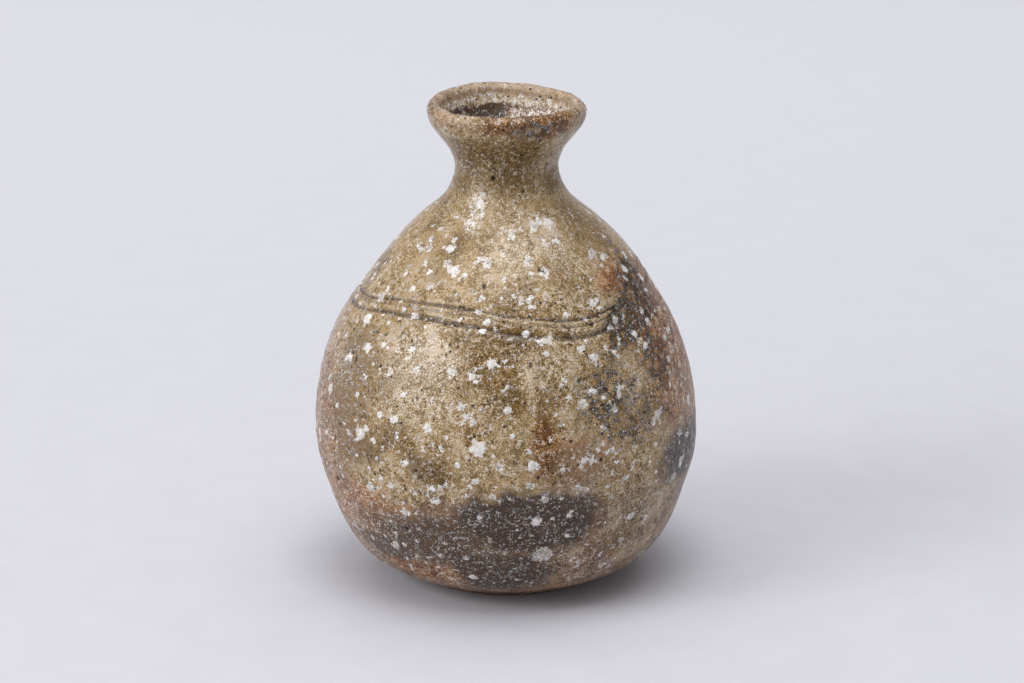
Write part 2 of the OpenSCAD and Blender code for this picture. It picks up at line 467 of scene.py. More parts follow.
def spun(vectors, azimuth_grid):
    """Profile vectors (outward, up) turned into 3-D vectors at each azimuth."""
    turn = np.radians(azimuth_grid - 90)
    out, up = vectors[:, :1], vectors[:, 1:]
    return np.stack([out * np.cos(turn), out * np.sin(turn), up + 0 * turn], -1)


def grid_normals(grid):
    """Unit normals of a grid of points that closes round its columns."""
    down = np.gradient(grid, axis=0)
    across = np.roll(grid, -1, 1) - np.roll(grid, 1, 1)
    normal = np.cross(across, down)
    return normal / np.linalg.norm(normal, axis=-1, keepdims=True)


NORMAL = spun(profile_normals(rows), AZ)
on_lip = smooth(neck_top + 4, lip_z, Z)
comb_depth, comb_dark = [mark * (Z < COMB_TOP) for mark in comb_marks(AZ, Z, base_points)]
pits = pit_depth(base_points, Z, AZ)
inside = smooth(-0.3, 0.5, lip_r - R) * (np.arange(len(rows)) > last_row["neck"] + 30)[:, None]
masks = colour_masks(base_points, Z, AZ, comb_dark, pits, inside)

side, radial = bend(base_points, Z, AZ)
height_change = on_lip * (0.3 * np.sin(np.radians(2 * AZ + 50)) + 0.38 * fractal(base_points, 8, 3, 71))
ledge = on_lip * smooth(24, 30, AZ) * smooth(66, 52, AZ)
top_facing = np.clip(NORMAL[..., 2], 0, 1)
clay_offset = radial + relief(base_points, Z, ALONG) - comb_depth - pits
clay_offset = clay_offset - 0.45 * ledge * top_facing * smooth(lip_r + 0.3, lip_r - 0.6, R)
clay_offset = clay_offset + 0.3 * on_lip * fractal(base_points, 6.5, 2, 73)
clay = base_points + NORMAL * clay_offset[..., None]
clay[..., 0] += side
clay[..., 2] += height_change
clay[..., 2] = np.maximum(clay[..., 2], 0)

# The glaze stands out of the clay where there is ash, and dips under the surface elsewhere
ash = masks["ash"]
beads = 0.05 * fractal(base_points, 3.2, 3, 81) + 0.015 * value_noise(base_points, 1.2, 83)
film = smooth(0.3, 0.75, ash + 0.25 * fractal(base_points, 3.5, 2, 85))
film = film * smooth(neck_top - 0.8, neck_top - 3.5, Z)
glaze_offset = -0.2 + film * (0.38 + beads) - 0.1 * comb_dark
clay_normal = grid_normals(clay)
glaze = clay + clay_normal * glaze_offset[..., None]
glaze_rows = np.where((rows[:, 1] >= GLAZE_LOW) & (np.arange(len(rows)) <= last_row["neck"]))[0]


# ---- feldspar grains
def loose_balls(node):
    """Centre and radius of each ball in a CAD node, in millimetres."""
    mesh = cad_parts[node].data
    co = np.array([v.co for v in mesh.vertices], float) / MM
    faces = np.array([list(p.vertices) for p in mesh.polygons])
    label = np.arange(len(co))
    while True:
        low = label[faces].min(1)
        new = label.copy()
        for k in range(faces.shape[1]):
            np.minimum.at(new, faces[:, k], low)
        new = new[new]
        if (new == label).all():
            break
        label = new
    balls = []
    for mark in np.unique(label):
        part = co[label == mark]
        low, high = part.min(0), part.max(0)
        balls.append(((low + high) / 2, float((high - low).mean() / 2)))
    return balls


def surface_at(azimuth, z):
    """Row and column of the wall's grid nearest to a place."""
    wall = np.arange(last_row["neck"] + 1)
    row = int(np.argmin(np.abs(rows[wall, 1] - z)))
    column = int(round((azimuth + 180) / 360 * COLUMNS)) % COLUMNS
    return row, column


grains = []
for centre, radius in loose_balls("feldspar_grains"):
    azimuth = wrap(math.degrees(math.atan2(centre[1], centre[0])) + 90)
    grains.append({"azimuth": azimuth, "z": float(centre[2]), "size": 0.72 * radius, "cad": True})
tries = 0
while len(grains) < MOST_GRAINS and tries < MOST_TRIES:
    tries += 1
    azimuth = random.uniform(-180, 180)
    share, luck, size = random.uniform(), random.uniform(), random.uniform()
    z = 8 + 88 * share ** 1.15
    row, column = surface_at(azimuth, z)
    density = 0.35 + 0.65 * float(np.clip(masks["spots"][row, column], 0, 1))
    if luck > density or luck > rows[row, 0] / 44:
        continue
    lateral = (0.26 + 0.54 * size ** 2.4) * (0.66 if z < 34 else 1)
    ring = rows[row, 0] * math.pi / 180
    near = [
        g for g in grains
        if math.hypot(wrap(azimuth - g["azimuth"]) * ring, z - g["z"])
        < 0.8 * (lateral + g["size"])
    ]
    if near:
        continue
    grains.append({"azimuth": azimuth, "z": z, "size": lateral, "cad": False})

# Each grain melts out into a pale ring round it
halo_and_highlight = masks["halo_and_highlight"]
ring_radius = np.hypot(base_points[..., 0], base_points[..., 1])
for g in grains:
    reach = g["size"] * 1.6 + 0.38
    near_rows = np.where(np.abs(rows[:last_row["neck"] + 1, 1] - g["z"]) < reach)[0]
    part = np.s_[near_rows[0]:near_rows[-1] + 1]
    across = wrap(AZ[part] - g["azimuth"]) * ring_radius[part] * math.pi / 180
    gap = np.hypot(across, (Z[part] - g["z"]) * 1.2)
    halo_and_highlight[part] = np.maximum(halo_and_highlight[part], smooth(reach, g["size"] * 0.8, gap))


# ---- mesh building
def in_scene(name, data):
    thing = bpy.data.objects.new(name, data)
    bpy.context.scene.collection.objects.link(thing)
    return thing


def shown(name, mesh, material):
    """The mesh, with its material, as an object in the scene."""
    mesh.materials.append(material)
    return in_scene(name, mesh)


def mesh_of(name, points, faces):
    """A smooth-shaded mesh."""
    mesh = bpy.data.meshes.new(name)
    mesh.from_pydata(points, [], faces)
    mesh.polygons.foreach_set("use_smooth", np.ones(len(mesh.polygons), bool))
    return mesh


def give(mesh, name, values):
    """A number at each of the mesh's points, for its material to read."""
    attribute = mesh.attributes.new(name, "FLOAT", "POINT")
    attribute.data.foreach_set("value", np.asarray(values, np.float32))


class Body:
    """A closed mesh built ring by ring, from the bottom outside, over the top and down the inside."""

    def __init__(self):
        self.points, self.normals, self.faces, self.smooth = [], [], [], []
        self.masks = {name: [] for name in MASKS}
        self.count = 0

    def ring(self, points, normals=None, masks=None):
        """Adds a ring of points, and returns its first index and its count."""
        first, count = self.count, len(points)
        self.points.append(points)
        self.normals.append(normals if normals is not None else np.zeros((count, 3)))
        for name in MASKS:
            self.masks[name].append(masks[name] if masks else np.zeros(count))
        self.count += count
        return first, count

    def stitch(self, a, b, smooth_face):
        """Faces between two rings: of one count, of counts in an even ratio, or a ring and a point."""
        (a0, na), (b0, nb) = a, b
        fine, coarse = max(na, nb), min(na, nb)
        j = np.arange(fine)
        k = (j + 1) % fine

        def corners(*columns):
            return np.stack(np.broadcast_arrays(*columns), 1)

        if na == nb:
            quads = corners(a0 + j, a0 + k, b0 + k, b0 + j)
        elif na == 1:
            quads = corners(a0, b0 + k, b0 + j, -1)
        elif nb == 1:
            quads = corners(a0 + j, a0 + k, b0, -1)
        else:
            step = fine // coarse
            lower = j // step
            nearest = np.where(j % step < step / 2, lower, (lower + 1) % coarse)
            mid = (np.arange(0, fine, step) + (step + 1) // 2) % fine
            own = np.arange(coarse)
            after = (own + 1) % coarse
            if na > nb:
                thin = corners(a0 + j, a0 + k, b0 + nearest, -1)
                wide = corners(a0 + mid, b0 + after, b0 + own, -1)
            else:
                thin = corners(b0 + k, b0 + j, a0 + nearest, -1)
                wide = corners(b0 + mid, a0 + own, a0 + after, -1)
            quads = np.vstack([thin, wide])
        self.faces.append(quads)
        self.smooth.append(np.full(len(quads), smooth_face))

    def walk(self, rings, smooth_face):
        for a, b in zip(rings, rings[1:]):
            self.stitch(a, b, smooth_face)

    def close(self, outside, inside):
        """Smooth skins outside and inside, joined by flat ends."""
        self.walk(outside, True)
        self.stitch(outside[-1], inside[0], False)
        self.walk(inside, True)
        self.stitch(inside[-1], outside[0], False)

    def build(self, name, material):
        points = np.vstack(self.points) * MM
        normals = np.vstack(self.normals)
        quads = np.vstack(self.faces)
        is_smooth = np.concatenate(self.smooth)
        polygons = [tuple(int(i) for i in q if i >= 0) for q in quads]
        mesh = mesh_of(name, points.tolist(), polygons)
        for mask in MASKS:
            give(mesh, mask, np.concatenate(self.masks[mask]))
        mesh.update()
        face_normals = np.zeros(len(quads) * 3, np.float32)
        mesh.polygons.foreach_get("normal", face_normals)
        face_normals = face_normals.reshape(-1, 3)
        corner = quads.reshape(-1)
        owner = np.repeat(np.arange(len(quads)), 4)[corner >= 0]
        corner = corner[corner >= 0]
        chosen = np.where(is_smooth[owner][:, None], normals[corner], face_normals[owner])
        mesh.normals_split_custom_set(chosen.tolist())
        return shown(name, mesh, material)


def fine_rings(body, grid, normals, first, last):
    """The rings of the wall's grid from one row to another, with their masks."""
    return [
        body.ring(grid[row], normals[row], {name: masks[name][row] for name in MASKS})
        for row in range(first, last + 1)
    ]


def coarse_rings(body, line, skin_seed):
    """The unseen inner wall, on fewer columns, with light turning ridges."""
    count = COLUMNS_INSIDE
    around = np.tile(-180 + 360 * np.arange(count) / count, (len(line), 1))
    ring_points = place(np.repeat(line[:, :1], count, 1), np.repeat(line[:, 1:], count, 1), around)
    out = spun(profile_normals(line), around)
    ripple = 0.12 * np.sin(line[:, 1:] * 1.1) + 0.25 * fractal(ring_points, 16, 2, skin_seed)
    fade = np.ones(len(line))
    fade[[0, -1]] = 0
    grid = ring_points + out * (ripple * fade[:, None])[..., None]
    normals = grid_normals(grid)
    return [body.ring(g, n) for g, n in zip(grid, normals)]


# ---- materials
def linear(red, green, blue, scale=1.0):
    """A colour given as it looks on a screen, 0 to 255, as linear light."""
    values = [c / 255 for c in (red, green, blue)]
    values = [c / 12.92 if c <= 0.04045 else ((c + 0.055) / 1.055) ** 2.4 for c in values]
    return tuple(c * scale for c in values) + (1.0,)


PAINT = 0.95  # every colour is this much darker than it looks


class Shader:
    """Short helpers for building one material's nodes."""

    def __init__(self, name):
        self.material = bpy.data.materials.new(name)
        self.material.use_nodes = True
        self.tree = self.material.node_tree
        self.principled = self.tree.nodes["Principled BSDF"]
        self.place = self.tree.nodes.new("ShaderNodeTexCoord").outputs["Object"]

    def put(self, socket, value):
        if isinstance(value, bpy.types.NodeSocket):
            self.tree.links.new(value, socket)
        else:
            socket.default_value = value

    def set(self, name, value):
        """An input of the surface itself."""
        self.put(self.principled.inputs[name], value)

    def node(self, kind, inputs, **settings):
        """A new node of a kind, with its settings and with its inputs by name or number."""
        node = self.tree.nodes.new("ShaderNode" + kind)
        for name, value in settings.items():
            setattr(node, name, value)
        for name, value in inputs.items():
            self.put(node.inputs[name], value)
        return node

    def noise(self, scale, detail, rough, output="Fac"):
        inputs = {"Vector": self.place, "Scale": scale, "Detail": detail, "Roughness": rough}
        return self.node("TexNoise", inputs).outputs[output]

    def warped(self, scale, amount):
        """The place in space, pushed about by noise, so that round cells turn ragged."""
        push = self.noise(scale, 2.0, 0.6, "Color")
        inputs = {0: push, 1: (amount, amount, amount), 2: self.place}
        return self.node("VectorMath", inputs, operation="MULTIPLY_ADD").outputs["Vector"]

    def stretched(self, at, squeeze):
        """A place whose pattern comes out longer across than it is tall."""
        inputs = {0: at, 1: (1, 1, squeeze)}
        return self.node("VectorMath", inputs, operation="MULTIPLY").outputs["Vector"]

    def place_along(self, axis):
        return self.node("SeparateXYZ", {0: self.place}).outputs[axis]

    def cells(self, scale, at):
        """Distance to the nearest cell centre, in cells, and three lucky numbers for that cell."""
        cell = self.node("TexVoronoi", {"Vector": at, "Scale": scale})
        split = self.node("SeparateColor", {0: cell.outputs["Color"]})
        return cell.outputs["Distance"], split.outputs

    def mask(self, name):
        return self.node("Attribute", {}, attribute_name=name).outputs["Fac"]

    def math(self, operation, a, b, c=0.0):
        return self.node("Math", {0: a, 1: b, 2: c}, operation=operation).outputs[0]

    def times(self, a, b):
        return self.math("MULTIPLY", a, b)

    def greater(self, a, b):
        return self.math("MAXIMUM", a, b)

    def less(self, a, b):
        return self.math("SUBTRACT", a, b)

    def plus(self, base, extra, share):
        """The base with a share of something more."""
        return self.math("MULTIPLY_ADD", extra, share, base)

    def total(self, base, *parts):
        """The base with a share of each of several things more."""
        for extra, share in parts:
            base = self.plus(base, extra, share)
        return base

    def step(self, low, high, value):
        inputs = {"Value": value, "From Min": low, "From Max": high}
        return self.node("MapRange", inputs, interpolation_type="SMOOTHSTEP").outputs["Result"]

    def ramp(self, value, stops):
        node = self.node("ValToRGB", {0: value})
        elements = node.color_ramp.elements
        while len(elements) < len(stops):
            elements.new(0.5)
        for element, (at, colour) in zip(elements, stops):
            element.position, element.color = at, colour
        return node.outputs["Color"]

    def mix(self, share, a, b):
        node = self.node("Mix", {"Factor": share}, data_type="RGBA")
        for name, colour in (("A", a), ("B", b)):
            self.put([s for s in node.inputs if s.name == name and s.type == "RGBA"][0], colour)
        return [s for s in node.outputs if s.type == "RGBA"][0]

    def bump(self, height, distance):
        return self.node("Bump", {"Distance": distance, "Height": height}).outputs["Normal"]


def ladder(*colours):
    """Colour stops spread evenly, from colours as they look."""
    return [(i / (len(colours) - 1), linear(*c, PAINT)) for i, c in enumerate(colours)]


# Each colour's shades from its darkest grit to its lightest
SHADES = {
    "clay": [(88, 60, 38), (128, 96, 68), (154, 122, 92), (196, 170, 140)],
    "ash": [(106, 82, 48), (158, 132, 91), (184, 159, 119), (214, 195, 161)],
    "pale_and_highlight": [(150, 128, 96), (188, 168, 138), (212, 196, 172), (236, 228, 214)],
    "olive": [(56, 38, 10), (98, 74, 34), (126, 98, 54), (168, 142, 98)],
    "scorch": [(21, 13, 8), (40, 28, 20), (57, 43, 33), (104, 83, 67)],
    "rust": [(66, 32, 6), (122, 74, 30), (158, 105, 54), (208, 166, 116)],
    "mauve": [(96, 64, 46), (146, 112, 86), (172, 140, 114), (206, 182, 160)],
    "amber": [(50, 25, 9), (105, 66, 28), (144, 101, 51), (198, 160, 106)],
    "crumb": [(124, 90, 52), (182, 150, 108), (214, 188, 152), (234, 218, 192)],
    "soot": [(16, 9, 5), (34, 22, 14), (52, 37, 27), (90, 71, 56)],
    "white": [(196, 188, 176), (214, 209, 203), (229, 226, 224), (243, 242, 243)],
}
IRON_SPECK = (66, 46, 22)
GROOVE_DARK = (50, 33, 10)
HOLE_DARK = (30, 21, 12)
# Sizes of half-melted feldspar spots: cells to a metre, largest radius in cells, softness of the edge
BLOTCHES = [(250, 0.25, 0.09), (470, 0.32, 0.11)]
FLECKS = [(980, 0.46, 0.12), (1500, 0.54, 0.14)]
PINHOLES = [(380, 0.34), (560, 0.46), (830, 0.5)]


def fired_surface(name, gloss):
    """Wood-fired clay with ash, scorch, iron flashes, grains, pinholes and painted highlights, laid out
    by the masks.
    """
    s = Shader(name)
    grit = s.step(0.38, 0.64, s.noise(2700, 2, 0.7))
    grain = s.step(0.38, 0.64, s.noise(800, 4, 0.7))
    cloud = s.step(0.36, 0.66, s.noise(210, 4, 0.65))
    drift = s.step(0.36, 0.64, s.noise(60, 3, 0.6))
    mottle = s.noise(125, 5, 0.65)
    specks = s.step(0.57, 0.66, s.noise(2500, 2, 0.8))
    off_grit, off_grain, off_cloud, off_drift = [s.less(n, 0.5) for n in (grit, grain, cloud, drift)]

    # The surface is calmer between the incised lines and the mouth
    height = s.place_along("Z")
    calm = s.times(s.step(0.074, 0.09, height), s.step(0.112, 0.1, height))
    lively = s.plus(1.0, calm, -0.42)
    tone = s.plus(s.times(grain, 0.3), grit, 0.42)
    tone = s.step(0.08, 0.92, s.plus(tone, cloud, 0.28))
    tone = s.plus(0.5, s.less(tone, 0.5), s.plus(0.5, lively, 0.5))
    paint = {key: s.ramp(tone, ladder(*shades)) for key, shades in SHADES.items()}

    def broken(level, fine, broad):
        """A level broken up by specks and blotches."""
        return s.total(level, (off_grit, fine), (off_grain, fine), (off_cloud, broad))

    def coat(under, mask_name, low, high, fine, broad):
        """A mask's colour over what lies under it, its edge broken up."""
        share = s.step(low, high, broken(s.mask(mask_name), fine, broad))
        return s.mix(share, under, paint[mask_name])

    ash_share = s.step(0.2, 0.8, broken(s.mask("ash"), 0.35, 0.45))
    colour = s.mix(ash_share, paint["clay"], paint["ash"])
    colour = s.mix(s.times(s.step(0.54, 0.66, mottle), s.times(lively, 0.46)), colour, paint["scorch"])
    colour = s.mix(s.times(s.step(0.47, 0.36, mottle), s.times(lively, 0.45)), colour, paint["pale_and_highlight"])
    # The pale mask holds pale colour and painted highlights.
    colour = coat(colour, "pale_and_highlight", 0.1, 0.9, 0.4, 0.5)
    colour = coat(colour, "mauve", 0.1, 0.9, 0.3, 0.4)
    patches = [(off_drift, s.times(lively, 0.86)), (off_cloud, s.times(lively, 0.84))]
    patchy = s.total(s.mask("olive"), *patches, (off_grain, 0.35))
    colour = s.mix(s.step(0.2, 1.0, patchy), colour, paint["olive"])
    colour = coat(colour, "rust", 0.12, 0.8, 0.4, 0.5)
    colour = coat(colour, "scorch", 0.24, 0.95, 0.55, 0.35)
    colour = coat(colour, "amber", 0.15, 0.85, 0.4, 0.5)

    # Soot caught between pale crumbs of ash
    crumb_distance = s.cells(430, s.warped(700, 0.0026))[0]
    sooty = s.mask("soot")
    crumb_zone = s.greater(sooty, s.times(s.mask("rust"), 0.4))
    crumb_share = s.times(s.step(0.5, 0.2, crumb_distance), s.step(0.1, 0.5, crumb_zone))
    colour = s.mix(s.times(crumb_share, 0.75), colour, paint["crumb"])
    soot_level = s.total(-0.2, (sooty, 0.72), (crumb_distance, 0.42))
    soot_level = s.total(soot_level, (off_grit, 0.4), (off_grain, 0.8), (off_cloud, 0.3))
    soot_share = s.step(0.49, 0.6, soot_level)
    colour = s.mix(soot_share, colour, paint["soot"])
    colour = s.mix(s.times(specks, 0.7), colour, linear(*IRON_SPECK, PAINT))
    groove_level = s.plus(s.mask("groove"), off_grain, 0.3)
    groove_share = s.times(s.step(0.14, 0.8, groove_level), 0.8)
    colour = s.mix(groove_share, colour, linear(*GROOVE_DARK, PAINT))

    # Half-melted feldspar: soft-edged, ragged white blotches, and fine flecks where the clay is bare
    ragged_place = s.warped(1100, 0.0009)
    blotch_place = s.stretched(ragged_place, 1.3)
    fleck_place = s.stretched(ragged_place, 2.1)
    flecked = s.times(s.mask("flecks"), s.plus(1.0, soot_share, -0.8))
    blotched = s.plus(0.2, s.mask("spots"), 0.8)
    kinds = [(*kind, blotched, blotch_place) for kind in BLOTCHES]
    kinds += [(*kind, flecked, fleck_place) for kind in FLECKS]
    spots = []
    for scale, largest, soft, density, at in kinds:
        distance, luck = s.cells(scale, at)
        radius = s.times(s.times(s.math("POWER", luck[0], 2.1), largest), density)
        spot = s.step(soft, -soft, s.less(distance, radius))
        spot = s.times(spot, s.step(0.04, 0.15, radius))
        spots.append(s.times(spot, s.plus(0.4, luck[2], 0.6)))
    spot_share = functools.reduce(s.greater, spots)
    spot_share = s.times(spot_share, s.plus(1.0, s.mask("amber"), -0.6))
    # The halo mask also carries a painted highlight, in white, at the neck's root on the left.
    halo_and_highlight_level = s.total(s.mask("halo_and_highlight"), (off_grit, 0.6), (off_grain, 0.9))
    halo_and_highlight_share = s.times(s.step(0.15, 1.1, halo_and_highlight_level), 0.95)
    colour = s.mix(spot_share, colour, paint["white"])
    colour = s.mix(halo_and_highlight_share, colour, paint["white"])

    # Pinholes, mostly where there is glaze
    hole = s.mask("pit")
    for scale, largest in PINHOLES:
        distance, luck = s.cells(scale, s.warped(1500, 0.0004))
        radius = s.plus(-0.5 * largest, luck[1], largest)
        pinhole = s.step(0.04, -0.03, s.less(distance, radius))
        pinhole = s.times(pinhole, s.step(0.0, 0.05, radius))
        pinhole = s.times(pinhole, s.plus(0.2, ash_share, 0.8))
        hole = s.greater(hole, s.times(pinhole, lively))
    colour = s.mix(s.times(hole, 0.9), colour, linear(*HOLE_DARK, PAINT))
    s.set("Base Color", colour)

    rough = s.total(gloss, (ash_share, -0.12), (cloud, 0.12), (spot_share, 0.1), (soot_share, 0.25))
    s.set("Roughness", s.greater(rough, s.times(hole, 0.9)))
    s.set("IOR", 1.41)

    lift = s.total(s.times(grain, 0.7), (grit, 0.22), (cloud, 1.5), (spot_share, 0.4), (hole, -1.6))
    s.set("Normal", s.bump(lift, 0.000045))
    return s.material


MELT_WHITE = [(192, 184, 174), (214, 209, 203), (229, 226, 224), (243, 242, 243)]
MELT_GREY = [(112, 104, 94), (142, 134, 122), (166, 158, 146), (198, 192, 182)]
MELT_EDGE = (196, 184, 166)


def feldspar():
    """White or grey half-melted grains, a little browner at the edge."""
    s = Shader("feldspar_melt")
    grit = s.step(0.38, 0.64, s.noise(1700, 3, 0.7))
    grain = s.step(0.36, 0.66, s.noise(700, 4, 0.6))
    tone = s.plus(s.times(grain, 0.5), grit, 0.5)
    white, grey = [s.ramp(tone, ladder(*shades)) for shades in (MELT_WHITE, MELT_GREY)]
    colour = s.mix(s.mask("tone"), white, grey)
    edge_level = s.plus(s.mask("melt"), s.less(grit, 0.5), 0.7)
    edge_share = s.times(s.step(0.3, 1.1, edge_level), 0.8)
    colour = s.mix(edge_share, colour, linear(*MELT_EDGE, PAINT))
    s.set("Base Color", colour)
    s.set("Roughness", s.plus(0.28, grain, 0.2))
    s.set("IOR", 1.5)
    s.set("Normal", s.bump(tone, 0.00008))
    return s.material


clay_material = fired_surface("fired_clay", 0.33)
glaze_material = fired_surface("ash_glaze", 0.25)
grain_material = feldspar()

# ---- pieces
def circle(count, radius, z):
    return place(np.full(count, radius), np.full(count, z), -180 + 360 * np.arange(count) / count)


def disc(body, radius, z, upward):
    """A flat round patch as rings from the edge to the centre, or the reverse for the underside."""
    sizes = [(COLUMNS_INSIDE, radius * 0.82), (COLUMNS_INSIDE // 4, radius * 0.5), (1, 0)]
    around = [circle(*size, z) for size in sizes]
    normal = np.array([0, 0, 1.0 if upward else -1.0])
    return [body.ring(p, np.tile(normal, (len(p), 1))) for p in (around if upward else around[::-1])]


def outside_rings(body, node):
    return fine_rings(body, clay, clay_normal, first_row[node], last_row[node])


def make_foot():
    body = Body()
    floor_r = inner_line[-1][0]
    under = disc(body, rows[0][0], 0.0, False)
    outside = outside_rings(body, "foot_slab")
    edge = body.ring(circle(COLUMNS_INSIDE, floor_r, slab_top))
    top = disc(body, floor_r, slab_top, True)
    body.walk(under + [outside[0]], False)
    body.walk(outside, True)
    body.walk([outside[-1], edge] + top, False)
    return body.build("foot", clay_material)


def make_wall(name, node, inner_high, inner_low):
    """A ring of wall, closed by its two joints and its unseen inside."""
    body = Body()
    outside = outside_rings(body, node)
    inside = coarse_rings(body, between(inner_line, inner_low, inner_high, 1.6), 101)
    body.close(outside, inside)
    return body.build(name, clay_material)


def make_mouth():
    """The mouth, seen inside and out, closed by its one joint."""
    body = Body()
    outside = outside_rings(body, "mouth_rim")
    body.walk(outside, True)
    body.stitch(outside[-1], outside[0], False)
    return body.build("mouth", clay_material)


def make_glaze():
    """The glaze's skin, closed by a plainer back inside the clay."""
    body = Body()
    normals = grid_normals(glaze)
    sunk = glaze.copy()
    sunk[glaze_rows[0]] -= clay_normal[glaze_rows[0]] * 0.3
    outside = fine_rings(body, sunk, normals, glaze_rows[0], glaze_rows[-1])
    back_rows = np.unique(np.linspace(glaze_rows[0], glaze_rows[-1], 44).astype(int))[::-1]
    back = clay - clay_normal * GLAZE_DEPTH
    inside = [body.ring(back[r][::COARSE], -clay_normal[r][::COARSE]) for r in back_rows]
    body.close(outside, inside)
    return body.build("glaze", glaze_material)


def ball(levels):
    """Points and faces of a round ball of radius 1."""
    mesh = bpy.data.meshes.new("ball")
    shape = bmesh.new()
    bmesh.ops.create_icosphere(shape, subdivisions=levels, radius=1)
    shape.to_mesh(mesh)
    shape.free()
    points = np.array([v.co for v in mesh.vertices], float)
    faces = np.array([list(p.vertices) for p in mesh.polygons])
    bpy.data.meshes.remove(mesh)
    return points, faces


def make_grains():
    """Every grain as a flattened, lumpy ball set in the surface; the larger ones have finer meshes."""
    medium, large = 0.58, 1.15
    shapes = [ball(2), ball(3), ball(4)]
    all_points, all_faces, tones, melts = [], [], [], []
    total = 0
    skin = clay + clay_normal * np.maximum(glaze_offset, 0)[..., None]
    for g in grains:
        points, faces = shapes[int(g["size"] > medium) + int(g["size"] > large)]
        row, column = surface_at(g["azimuth"], g["z"])
        centre = (skin if glaze_rows[0] < row else clay)[row, column]
        out = clay_normal[row, column]
        side_way = np.cross([0, 0, 1.0], out)
        side_way /= np.linalg.norm(side_way)
        up_way = np.cross(out, side_way)
        stretch = random.uniform(0.85, 1.4)
        turn = random.uniform(-0.6, 0.6)
        tall = 1.35 if g["cad"] and g["size"] > large else 1.0
        a = points[:, 0] * math.cos(turn) - points[:, 1] * math.sin(turn)
        b = points[:, 0] * math.sin(turn) + points[:, 1] * math.cos(turn)
        lump = 1 + 0.7 * fractal(points + random.uniform(0, 90, 3), 0.85, 2, 201)
        size = g["size"] / 0.68
        deep = min(0.6, 0.4 * size + 0.16)
        across = np.outer(a * size * stretch * lump, side_way)
        upward = np.outer(b * size * tall / stretch * lump, up_way)
        outward = np.outer(points[:, 2] * deep * (0.9 + 0.1 * lump) - deep * 0.8, out)
        all_points.append(centre + across + upward + outward)
        all_faces.append(faces + total)
        total += len(points)
        melts.append(smooth(0.35, 0.82, np.hypot(points[:, 0], points[:, 1])))
        # The one large grey grain is low on the front, and the whitest one is at the middle
        low_front = g["cad"] and abs(g["azimuth"] - 12) < 3 and g["z"] < 20
        grey = 0.75 if low_front else random.uniform() ** 2 * 0.8
        grey = 0 if g["cad"] and abs(g["azimuth"] + 8) < 3 else grey
        tones.append(np.full(len(points), grey))
    mesh = mesh_of("grains", (np.vstack(all_points) * MM).tolist(), np.vstack(all_faces).tolist())
    give(mesh, "tone", np.concatenate(tones))
    give(mesh, "melt", np.concatenate(melts))
    return shown("grains", mesh, grain_material)


walls = [
    ("lower_wall", "lower_belly", inner_joint_belly, inner_line[-1][1]),
    ("upper_wall", "upper_belly", inner_joint_shoulder, inner_joint_belly),
    ("shoulder_wall", "shoulder", inner_joint_neck, inner_joint_shoulder),
    ("neck_wall", "neck", inner_joint_mouth, inner_joint_neck),
]
made = [(make_foot(), "foot_slab", "stoneware")]
made += [(make_wall(*wall), wall[1], "stoneware") for wall in walls]
made += [
    (make_mouth(), "mouth_rim", "stoneware"),
    (make_glaze(), "ash_glaze", "ash_glaze"),
    (make_grains(), "feldspar_grains", "feldspar"),
]
for piece, node, slot in made:
    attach(piece, "root")
    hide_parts(node)

# ---- floor and light
FLOOR_HALF = 4.0  # half the floor's width, in metres, as are the lengths below
FLOOR_FRONT = -3.0
FLOOR_BEND = 2.2  # how far behind the bottle the floor starts to curve up
FLOOR_CURVE = 0.8
PAPER_NEAR = [(0, (0.534, 0.536, 0.579, 1)), (1, (0.546, 0.548, 0.591, 1))]
# Painted light: the floor is painted lighter toward the back, where the lamps light it less.
PAPER_FAR_PAINTED_LIGHT = (0.622, 0.626, 0.674, 1)
HORIZON_FADE = (0.9, 1.5)  # the ring of far paper is clear inside the first radius
HORIZON_CURVE = 0.7
HORIZON_LIFT = 0.002
HORIZON_COLOUR = (0.73, 0.735, 0.79, 1)


def curve_up(start, radius, lift, count):
    """A quarter turn from level to upright, as (distance, height)."""
    angles = np.linspace(0.1, math.pi / 2, count)
    return [(start + radius * math.sin(a), lift + radius - radius * math.cos(a)) for a in angles]


def sweep_floor():
    """A pale floor that curves up into a backdrop far behind."""
    outline = [(FLOOR_FRONT, 0.0), (FLOOR_BEND, 0.0)]
    outline += curve_up(FLOOR_BEND, FLOOR_CURVE, 0, 16)
    outline += [(FLOOR_BEND + FLOOR_CURVE, 4.0)]
    points = [(x, y, z) for y, z in outline for x in (-FLOOR_HALF, FLOOR_HALF)]
    faces = [(2 * i, 2 * i + 1, 2 * i + 3, 2 * i + 2) for i in range(len(outline) - 1)]
    s = Shader("paper")
    s.set("Roughness", 0.9)
    s.set("Specular IOR Level", 0.1)
    paper = s.ramp(s.step(0.35, 0.65, s.noise(60, 3, 0.5)), PAPER_NEAR)
    # Painted light: lighter paper toward the back, where less lamp light reaches the floor.
    far = s.step(0.0, 0.8, s.place_along("Y"))
    s.set("Base Color", s.mix(far, paper, PAPER_FAR_PAINTED_LIGHT))
    floor = shown("floor", mesh_of("floor", points, faces), s.material)


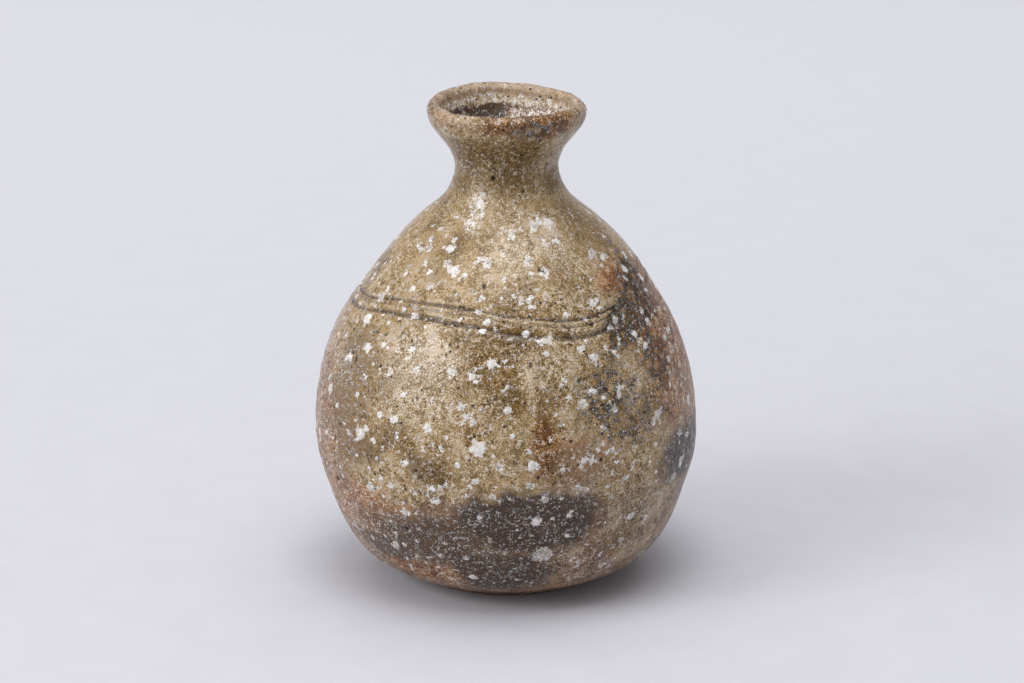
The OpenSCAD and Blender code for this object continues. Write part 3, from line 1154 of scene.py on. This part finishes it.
def horizon():
    """Pale paper all round, far off, that hides the floor's end; it neither lights nor shades."""
    fade_in, fade_out = HORIZON_FADE
    outline = [(r, HORIZON_LIFT) for r in (fade_in, 1.1, 1.3, fade_out)]
    outline += curve_up(fade_out, HORIZON_CURVE, HORIZON_LIFT, 12)
    outline += [(fade_out + HORIZON_CURVE, 3.0)]
    count = 96
    turns = np.arange(count) * math.tau / count
    points = [(r * math.cos(a), r * math.sin(a), z) for r, z in outline for a in turns]
    faces = []
    for low in range(0, (len(outline) - 1) * count, count):
        high = low + count
        for j, k in zip(range(count), [*range(1, count), 0]):
            faces.append((low + j, low + k, high + k, high + j))
    mesh = mesh_of("horizon", points, faces)
    give(mesh, "shown", np.repeat([smooth(fade_in, fade_out, r) for r, z in outline], count))
    s = Shader("far_paper")
    s.set("Base Color", (0, 0, 0, 1))
    s.set("Specular IOR Level", 0)
    s.set("Emission Color", HORIZON_COLOUR)
    s.set("Emission Strength", 1)
    s.set("Alpha", s.mask("shown"))
    ring = shown("horizon", mesh, s.material)
    ring.visible_diffuse = False
    ring.visible_glossy = False
    ring.visible_transmission = False
    ring.visible_shadow = False


# Lights: name, azimuth, elevation, distance, width, height, watts, colour
LIGHTS = [
    ("left_box", -60, 26, 2.2, 1.8, 1.2, 17.5, (0.99, 0.985, 0.995)),
    ("left_core", -60, 32, 2.0, 0.7, 0.6, 8.5, (0.98, 0.98, 1.0)),
    ("top_box", 8, 75, 2.1, 0.9, 1.3, 14.0, (1.0, 0.99, 0.98)),
    ("overhead", 180, 84, 2.3, 3.2, 3.2, 38.0, (1.0, 0.99, 0.985)),
]
LIGHTS_AIM = Vector((0, 0, 0.055))
SKY_COLOUR = (0.97, 0.97, 1.0, 1)
SKY_STRENGTH = 0.42


def softbox(name, azimuth, elevation, distance, width, height, power, tint):
    """A soft rectangular light that faces the bottle."""
    light = bpy.data.lights.new(name, "AREA")
    light.shape, light.size, light.size_y = "RECTANGLE", width, height
    light.energy, light.color = power, tint
    lamp = in_scene(name, light)
    a, e = math.radians(azimuth), math.radians(elevation)
    back = Vector((math.sin(a) * math.cos(e), -math.cos(a) * math.cos(e), math.sin(e)))
    lamp.location = LIGHTS_AIM + back * distance
    lamp.rotation_euler = (-back).to_track_quat("-Z", "Y").to_euler()


sweep_floor()
horizon()
for light in LIGHTS:
    softbox(*light)
world = bpy.data.worlds.new("studio")
bpy.context.scene.world = world
world.use_nodes = True
sky = world.node_tree.nodes["Background"].inputs
sky["Color"].default_value = SKY_COLOUR
sky["Strength"].default_value = SKY_STRENGTH

# ---- camera
CAMERA_AIM = Vector((0, 0, 0.061))
CAMERA_ELEVATION = math.radians(17)
CAMERA_DISTANCE = 0.95
camera_data = bpy.data.cameras.new("camera")
camera_data.lens, camera_data.sensor_width = 132.9, 36
camera_data.shift_x, camera_data.shift_y = 0.0054, -0.0046
camera = in_scene("camera", camera_data)
camera_way = Vector((0, -math.cos(CAMERA_ELEVATION), math.sin(CAMERA_ELEVATION)))
camera.location = CAMERA_AIM + camera_way * CAMERA_DISTANCE
camera.rotation_euler = (CAMERA_AIM - camera.location).to_track_quat("-Z", "Y").to_euler()
bpy.context.scene.camera = camera
bpy.context.scene.view_settings.view_transform = "Standard"
